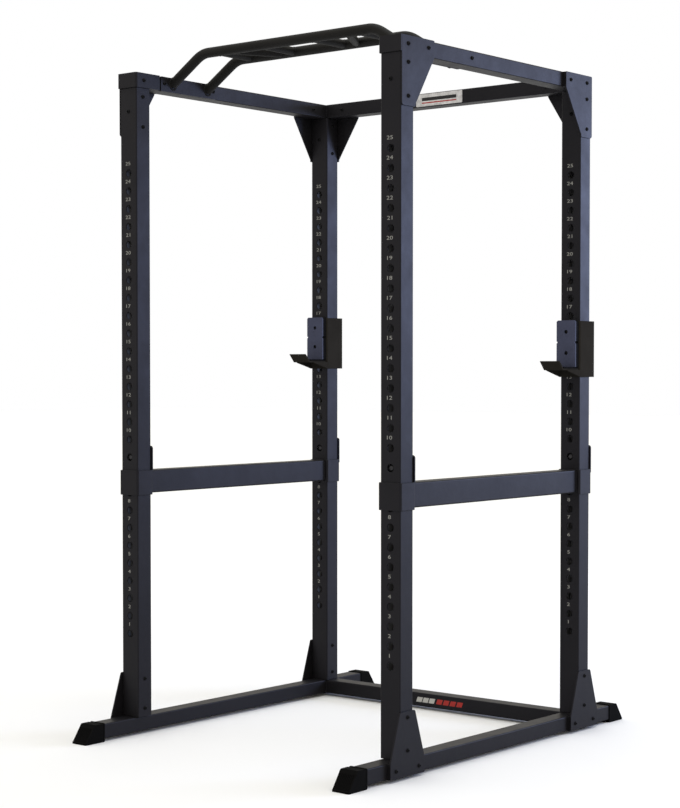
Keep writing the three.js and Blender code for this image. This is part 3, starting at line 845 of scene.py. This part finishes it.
PIN_Z = FIRST_HOLE + 10 * HOLE_PITCH
SLEEVE_CLEARANCE = 0.5
SLEEVE_TOP = 900.0
BARREL_RADIUS = 15.0
BACK_PLATE_INSET = 0.05


def safety_rail(side_name):
    node = f"safety_rail_{side_name}"
    body = f"safety_bar_{side_name}"
    low, high = box(node)
    bm = bmesh.new()
    add_tube(bm, low, high, "y", corner=5.0)
    for y in (low.y - 0.2, high.y + 0.2):
        way = 1 if y < 0 else -1
        for x0, x1, z0, z1 in (
            (low.x + 4, high.x - 4, high.z, high.z), (low.x + 4, high.x - 4, low.z, low.z),
            (low.x, low.x, low.z + 4, high.z - 4), (high.x, high.x, low.z + 4, high.z - 4),
        ):
            add_weld_line(bm, (x0, y + way * 0.6, z0), (x1, y + way * 0.6, z1), (0, 1, 0), size=2.0)
    piece(node + "_tube", bm, body, PAINT, [node])


def sleeve(end_name, side_name):
    """A folded sleeve round the upright, with a tall rear plate and the lock pin's barrel."""
    node = f"safety_sleeve_{end_name}_{side_name}"
    post_low, post_high = box(f"upright_{end_name}_{side_name}")
    low, high = box(node)
    bm = bmesh.new()
    clear = SLEEVE_CLEARANCE
    x0, x1 = post_low.x - clear - PLATE, post_high.x + clear + PLATE
    y0, y1 = post_low.y - clear - PLATE, post_high.y + clear + PLATE
    add_tube(bm, (x0, y0, low.z), (x1, y1, SLEEVE_TOP), "z", wall=PLATE, corner=7.5, ease=0.9)
    x = (x0 + x1) / 2
    back = bmesh.new()
    outline = rounded(rectangle(x0 + 1, x1 - 1, SLEEVE_TOP - 12, high.z), [0, 0, 9, 9])
    add_plate(back, outline, y1 - PLATE + 0.1, y1 - BACK_PLATE_INSET, "y")
    bore = bmesh.new()
    add_lathe(bore, (x, y1 - PLATE - 5, PIN_Z), (0, 1, 0), [(0, 10.2), (20, 10.2)], sides=32)
    mesh = bpy.data.meshes.new("back_plate")
    cut_back = cut(back, bore)
    cut_back.to_mesh(mesh)
    cut_back.free()
    bm.from_mesh(mesh)
    bpy.data.meshes.remove(mesh)
    barrel_end = 12.0
    turns = [2 * math.pi * n / 32 for n in range(32)]
    add_loft(bm, [
        [Vector((x + r * math.cos(a), y1 + d, PIN_Z + r * math.sin(a))) for a in turns]
        for d, r in (
            (-0.5, BARREL_RADIUS), (barrel_end - 1.2, BARREL_RADIUS), (barrel_end, BARREL_RADIUS - 1.2),
            (barrel_end, 10.9), (barrel_end - 0.6, 10.3), (-0.5, 10.3),
        )
    ], closed=True)
    add_weld_round(bm, (x, y1, PIN_Z), (0, 1, 0), BARREL_RADIUS, lambda s: 0.4, size=1.8)
    piece(node + "_fold", bm, f"safety_bar_{side_name}", PAINT, [node])


def lock_pin(end_name, side_name):
    node = f"lock_pin_{end_name}_{side_name}"
    low, high = box(node)
    x, z = (low.x + high.x) / 2, (low.z + high.z) / 2
    knob = high.y - 17.7
    bm = bmesh.new()
    add_lathe(bm, (x, low.y, z), (0, 1, 0), [
        (0, 6.5), (1.6, 8.6), (4.0, 10.0), (knob - low.y + 4, 10.0),
    ], sides=32)
    piece(node + "_shank", bm, node, PIN_STEEL, [node])
    grip_bm = bmesh.new()
    rings = []
    sides = 48
    steps = [
        (0.0, 9.0, 0), (0.6, 12.0, 0), (1.4, 12.8, 0), (2.6, 13.0, 1), (12.6, 13.0, 1), (14.2, 12.8, 0),
        (16.4, 11.4, 0), (17.5, 8.8, 0), (17.7, 4.5, 0),
    ]
    for d, r, knurl in steps:
        ring = []
        for n in range(sides):
            a = 2 * math.pi * n / sides
            rr = r - (0.55 if knurl and n % 2 else 0.0)
            ring.append(Vector((x + rr * math.cos(a), knob + d, z + rr * math.sin(a))))
        rings.append(ring)
    add_loft(grip_bm, rings)
    piece(node + "_knob", grip_bm, node, RUBBER, [])


# ---------------------------------------------------------------- J-hooks

HOOK_CLEAR = 0.5
HOOK_PLATE = 6.0
PAD_SKIN = 4.0
PAD_CORNER = 5.0
PAD_NOTCH = 4.0
PAD_SCREW_Z = 36.0
SCREW_RADIUS = 6.2
SCREW_SINK = 6.8
RIB_REACH = 82.0
RIB_TOP_DROP = 93.6
TRAY_DROP = 95.0


def j_hook(side_name):
    body = f"j_hook_{side_name}"
    post_low, post_high = box(f"upright_rear_{side_name}")
    x = (post_low.x + post_high.x) / 2
    face = post_low.y
    low, high = box(f"j_hook_bracket_{side_name}")
    ref = high.z - 73.0
    half_in = (post_high.x - post_low.x) / 2 + HOOK_CLEAR
    half_out = half_in + PLATE
    plate_back = face - HOOK_CLEAR
    plate_front = plate_back - HOOK_PLATE
    back = high.y

    # channel: front plate and two cheeks folded from one sheet
    outline = rounded([
        (x - half_out, back), (x - half_out, plate_front), (x + half_out, plate_front), (x + half_out, back),
        (x + half_in, back), (x + half_in, plate_back), (x - half_in, plate_back), (x - half_in, back),
    ], [0.8, 7, 7, 0.8, 0.8, 1.5, 1.5, 0.8], 6)
    bm = bmesh.new()
    add_plate(bm, outline, low.z, high.z, "z")
    rib_top = ref - RIB_TOP_DROP
    for sign in (-1, 1):
        rib = rounded([
            (plate_front + 3, rib_top), (face - RIB_REACH, rib_top),
            (face - RIB_REACH, rib_top - 3), (plate_front + 3, low.z + 1),
        ], [0, 1, 3, 0])
        add_plate(bm, rib, x + sign * half_in, x + sign * half_out, "x")
    piece(f"j_hook_channel_{side_name}", bm, body, HOOK_PAINT, [f"j_hook_bracket_{side_name}"])

    # tray with its raked lip
    tray_low, tray_high = box(f"j_hook_tray_{side_name}")
    t_low = ref - TRAY_DROP
    t_back = plate_front - 0.3
    front = face - 104.0
    outline = rounded([
        (t_back, t_low), (t_back, t_low + 6), (front + 3, t_low + 6), (front - 20, t_low + 31),
        (front - 27, t_low + 31), (front, t_low),
    ], [0.5, 0.5, 5, 2.5, 2.5, 9], 5)
    bm = bmesh.new()
    add_plate(bm, outline, tray_low.x, tray_high.x, "x", edge=1.2)
    piece(f"j_hook_shelf_{side_name}", bm, body, HOOK_PAINT, [f"j_hook_tray_{side_name}"])

    # pad: a slate front skin on a black core, clipped corners, a notch on each edge, two sunk screws
    pad_low, pad_high = box(f"j_hook_pad_{side_name}")
    u0, u1, v0, v1 = pad_low.x, pad_high.x, pad_low.z, pad_high.z
    outline = [
        (u0, v0), (u1, v0),
        (u1, ref - PAD_NOTCH), (u1 - PAD_NOTCH, ref - 1), (u1 - PAD_NOTCH, ref + 1), (u1, ref + PAD_NOTCH),
        (u1, v1 - PAD_CORNER), (u1 - PAD_CORNER, v1), (u0 + PAD_CORNER, v1), (u0, v1 - PAD_CORNER),
        (u0, ref + PAD_NOTCH), (u0 + PAD_NOTCH, ref + 1), (u0 + PAD_NOTCH, ref - 1), (u0, ref - PAD_NOTCH),
    ]
    skin_back = pad_low.y + PAD_SKIN
    pad = bmesh.new()
    add_plate(pad, outline, pad_low.y, skin_back, "y", edge=0.5, sharp=0.4)
    sinks = bmesh.new()
    for dz in (PAD_SCREW_Z, -PAD_SCREW_Z):
        add_lathe(sinks, (x, pad_low.y - 1, ref + dz), (0, 1, 0), [(0, SCREW_SINK), (8.0, SCREW_SINK)], sides=28)
    node = f"j_hook_pad_{side_name}"
    piece(f"j_hook_guard_{side_name}", cut(pad, sinks), body, PAD_PLASTIC, [node])
    core = bmesh.new()
    add_plate(core, outline, skin_back + 0.1, pad_high.y, "y", edge=0.8, sharp=0.4)
    piece(f"j_hook_core_{side_name}", core, body, RUBBER)
    screws = bmesh.new()
    for dz in (PAD_SCREW_Z, -PAD_SCREW_Z):
        add_bolt(screws, (x, skin_back, ref + dz), (0, -1, 0), radius=SCREW_RADIUS, height=2.4)
    piece(f"j_hook_screws_{side_name}", screws, body, BOLT_BLACK)

    # liner on the tray, with fine cross grooves
    liner_low, liner_high = box(f"j_hook_liner_{side_name}")
    bm = bmesh.new()
    add_block(bm, liner_low, (liner_high.x, liner_high.y, liner_high.z - 1.0), edge=0.6)
    pitch = 6.0
    count = int((liner_high.y - liner_low.y - 6) / pitch)
    for n in range(count):
        y = liner_low.y + 4 + n * pitch
        far = (liner_high.x - 2, y + pitch - 1.8, liner_high.z)
        add_block(bm, (liner_low.x + 2, y, liner_high.z - 1.4), far, edge=0.4)
    piece(f"j_hook_tread_{side_name}", bm, body, RUBBER, [f"j_hook_liner_{side_name}"])

    # stud
    stud_low, stud_high = box(f"j_hook_stud_{side_name}")
    z = (stud_low.z + stud_high.z) / 2
    length = stud_high.y - stud_low.y
    bm = bmesh.new()
    add_lathe(bm, (x, stud_low.y, z), (0, 1, 0), [
        (0, 11.0), (length - 5, 11.0), (length - 2, 9.8), (length, 7.5),
    ], sides=32)
    piece(f"j_hook_peg_{side_name}", bm, body, PIN_STEEL, [f"j_hook_stud_{side_name}"])


# ---------------------------------------------------------------- feet


def foot(end_name, end, side_name):
    """A moulded rubber shoe over the runner's end, its raked toe ribbed from top to bottom."""
    node = f"foot_{end_name}_{side_name}"
    low, high = box(node)
    back = min(abs(low.y), abs(high.y))
    toe = max(abs(low.y), abs(high.y))
    top = high.z
    slope = 43.0
    sole = 1.6
    outline = [
        (end * back, sole), (end * (toe - 2.2), sole), (end * (toe - slope - 2.2), top - 0.8),
        (end * (back + 14), top - 0.8), (end * (back + 14), top - 2.2), (end * back, top - 2.2),
    ]
    bm = bmesh.new()
    add_plate(bm, outline, low.x + 0.8, high.x - 0.8, "x", edge=1.6, sharp=0.3)
    # collar band round the shoe's mouth and the sole
    band = rounded(rectangle(low.x, high.x, 3.0, top), 4)
    add_plate(bm, band, end * (back + 0.4), end * (back + 6), "y", edge=0.8)
    sole_y0, sole_y1 = sorted((end * (back + 1), end * (toe - 1.0)))
    add_plate(bm, rounded(rectangle(low.x, high.x, sole_y0, sole_y1), 4), 0.0, 7.0, "z", edge=0.9)
    # ribs on the raked face: a frame and seven bars
    rise = Vector((0, -end * slope, top)).normalized()
    out = Vector((0, end * top, slope)).normalized()
    start = Vector((0, end * toe, 0))
    length = math.hypot(slope, top)

    def bar(x0, x1, s0, s1, depth, radius):
        ring0, ring1 = [], []
        for u, v in rounded(rectangle(x0, x1, s0, s1), radius, 3):
            base = start + rise * v + Vector((u, 0, 0))
            ring0.append(base - out * (depth + 1.4))
            ring1.append(base - out * 0.25)
        add_loft(bm, [ring0, ring1])

    bar(low.x + 0.1, high.x - 0.1, length - 15, length - 1.5, 2.0, 2.0)
    bar(low.x + 0.2, low.x + 6, 6.0, length - 15, 2.0, 1.0)
    bar(high.x - 6, high.x - 0.2, 6.0, length - 15, 2.0, 1.0)
    count = 8
    room = high.x - low.x - 16
    pitch = room / count
    for n in range(count):
        x0 = low.x + 8 + n * pitch + pitch * 0.22
        bar(x0, x0 + pitch * 0.56, 4.0, length - 15, 2.0, 1.0)
    piece(node + "_shoe", bm, FRAME, RUBBER, [node])


# ---------------------------------------------------------------- build

for side_name, side in SIDES:
    for end_name, end in ENDS:
        upright(end_name, side_name)
        hole_numbers(end_name, side_name)
        top_side_gusset(end_name, end, side_name, side)
        base_gusset(end_name, side_name, side)
        foot(end_name, end, side_name)
        sleeve(end_name, side_name)
        lock_pin(end_name, side_name)
    side_tube(f"base_runner_{side_name}", side, [
        (589.0, 597.7, -585.0, -415.0), (589.0, 597.7, 415.0, 585.0),
    ])
    side_tube(f"top_beam_{side_name}", side, [
        (589.0, 597.7, -532.0, -370.5), (589.0, 597.7, 370.5, 532.0), (522.3, 531.0, -532.0, -425.5),
    ])
    rear_gusset(side_name, side)
    front_collar(side_name, side)
    pull_up_mount(side_name, side)
    safety_rail(side_name)
    j_hook(side_name)

cross_tube("top_beam_rear")
cross_tube("base_tube_rear")
face_bolts()
Y_FRONT = pull_up_bar("pull_up_bar_front")
Y_REAR = pull_up_bar("pull_up_bar_rear")
for side_name, side in SIDES:
    for grip_name, x_front, x_rear in GRIPS:
        grip(grip_name, side_name, side, x_front, x_rear, Y_FRONT, Y_REAR)
name_plate()
base_stripe()
for mesh in LABELS.values():
    bpy.data.meshes.remove(mesh)


# ---------------------------------------------------------------- floor, light and camera


FLOOR_BOUNCE = 0.66


def floor():
    """A pale floor that looks white and gives the object only part of that light back."""
    mat, tree, shader, where = node_tree("pale_floor")
    cloud = noise_node(tree, where, 0.8, 3.0)
    # floor tone rises by up to 0.06 between 1 m and 4 m from the centre: a painted pool of shade round the cage
    reach = tree.nodes.new("ShaderNodeVectorMath")
    reach.operation = "LENGTH"
    tree.links.new(where, reach.inputs[0])
    spread = map_range(tree, reach.outputs["Value"], 1.0, 4.0, 0.0, 0.06)
    tone = tree.nodes.new("ShaderNodeMath")
    tree.links.new(map_range(tree, cloud, 0.3, 0.7, 0.88, 0.90), tone.inputs[0])
    tree.links.new(spread, tone.inputs[1])
    path = tree.nodes.new("ShaderNodeLightPath")
    weight = tree.nodes.new("ShaderNodeMath")
    weight.operation = "MULTIPLY"
    tree.links.new(tone.outputs["Value"], weight.inputs[0])
    seen = path.outputs["Is Camera Ray"]
    tree.links.new(map_range(tree, seen, 0.0, 1.0, FLOOR_BOUNCE, 1.0), weight.inputs[1])
    tree.links.new(weight.outputs["Value"], shader.inputs["Base Color"])
    tree.links.new(map_range(tree, cloud, 0.3, 0.7, 0.75, 0.85), shader.inputs["Roughness"])
    shader.inputs["Specular IOR Level"].default_value = 0.1
    bm = bmesh.new()
    half = 40.0
    ring = ((-half, -half), (half, -half), (half, half), (-half, half))
    bm.faces.new([bm.verts.new((x, y, 0.0)) for x, y in ring])
    mesh = bpy.data.meshes.new("floor")
    bm.to_mesh(mesh)
    bm.free()
    obj = bpy.data.objects.new("floor", mesh)
    mesh.materials.append(mat)
    bpy.context.scene.collection.objects.link(obj)


def soft_light(name, position, target, size, energy, colour):
    light = bpy.data.lights.new(name, "AREA")
    light.shape = "RECTANGLE"
    light.size, light.size_y = size
    light.energy = energy
    light.color = colour
    obj = bpy.data.objects.new(name, light)
    obj.location = position
    obj.rotation_euler = (Vector(target) - Vector(position)).to_track_quat("-Z", "Y").to_euler()
    bpy.context.scene.collection.objects.link(obj)


def top_sun(name, strength, colour):
    """A wide, soft light from straight above, the same everywhere on the floor."""
    light = bpy.data.lights.new(name, "SUN")
    light.energy = strength
    light.angle = math.radians(70.0)
    light.color = colour
    obj = bpy.data.objects.new(name, light)
    bpy.context.scene.collection.objects.link(obj)


def world():
    sky = bpy.data.worlds.new("studio")
    bpy.context.scene.world = sky
    sky.use_nodes = True
    tree = sky.node_tree
    background = tree.nodes["Background"]
    background.inputs["Color"].default_value = (1.0, 0.955, 0.86, 1.0)
    background.inputs["Strength"].default_value = 0.84
    seen = tree.nodes.new("ShaderNodeBackground")
    seen.inputs["Color"].default_value = (1.0, 1.0, 1.0, 1.0)
    seen.inputs["Strength"].default_value = 1.0
    path = tree.nodes.new("ShaderNodeLightPath")
    mix = tree.nodes.new("ShaderNodeMixShader")
    tree.links.new(path.outputs["Is Camera Ray"], mix.inputs["Fac"])
    tree.links.new(background.outputs["Background"], mix.inputs[1])
    tree.links.new(seen.outputs["Background"], mix.inputs[2])
    tree.links.new(mix.outputs["Shader"], tree.nodes["World Output"].inputs["Surface"])


floor()
world()
soft_light("key_right", (4.2, 5.4, 2.15), (0.3, 0.0, 1.5), (3.2, 1.9), 267.0, (0.53, 0.64, 1.0))
top_sun("overhead_sun", 1.15, (0.86, 0.92, 1.0))

CAMERA_AT = (4.0145, -4.9714, 1.2358)
CAMERA_LOOKS = (-0.63482, 0.77197, -0.03277)
CAMERA_LENS = 83.285
CAMERA_SHIFT = 0.0353

camera_data = bpy.data.cameras.new("camera")
camera_data.sensor_width = 36.0
camera_data.lens = CAMERA_LENS
camera_data.shift_y = CAMERA_SHIFT
camera_data.clip_end = 200.0
camera = bpy.data.objects.new("camera", camera_data)
camera.location = CAMERA_AT
camera.rotation_euler = Vector(CAMERA_LOOKS).to_track_quat("-Z", "Y").to_euler()
bpy.context.scene.collection.objects.link(camera)
bpy.context.scene.camera = camera
bpy.context.scene.view_settings.view_transform = "Standard"
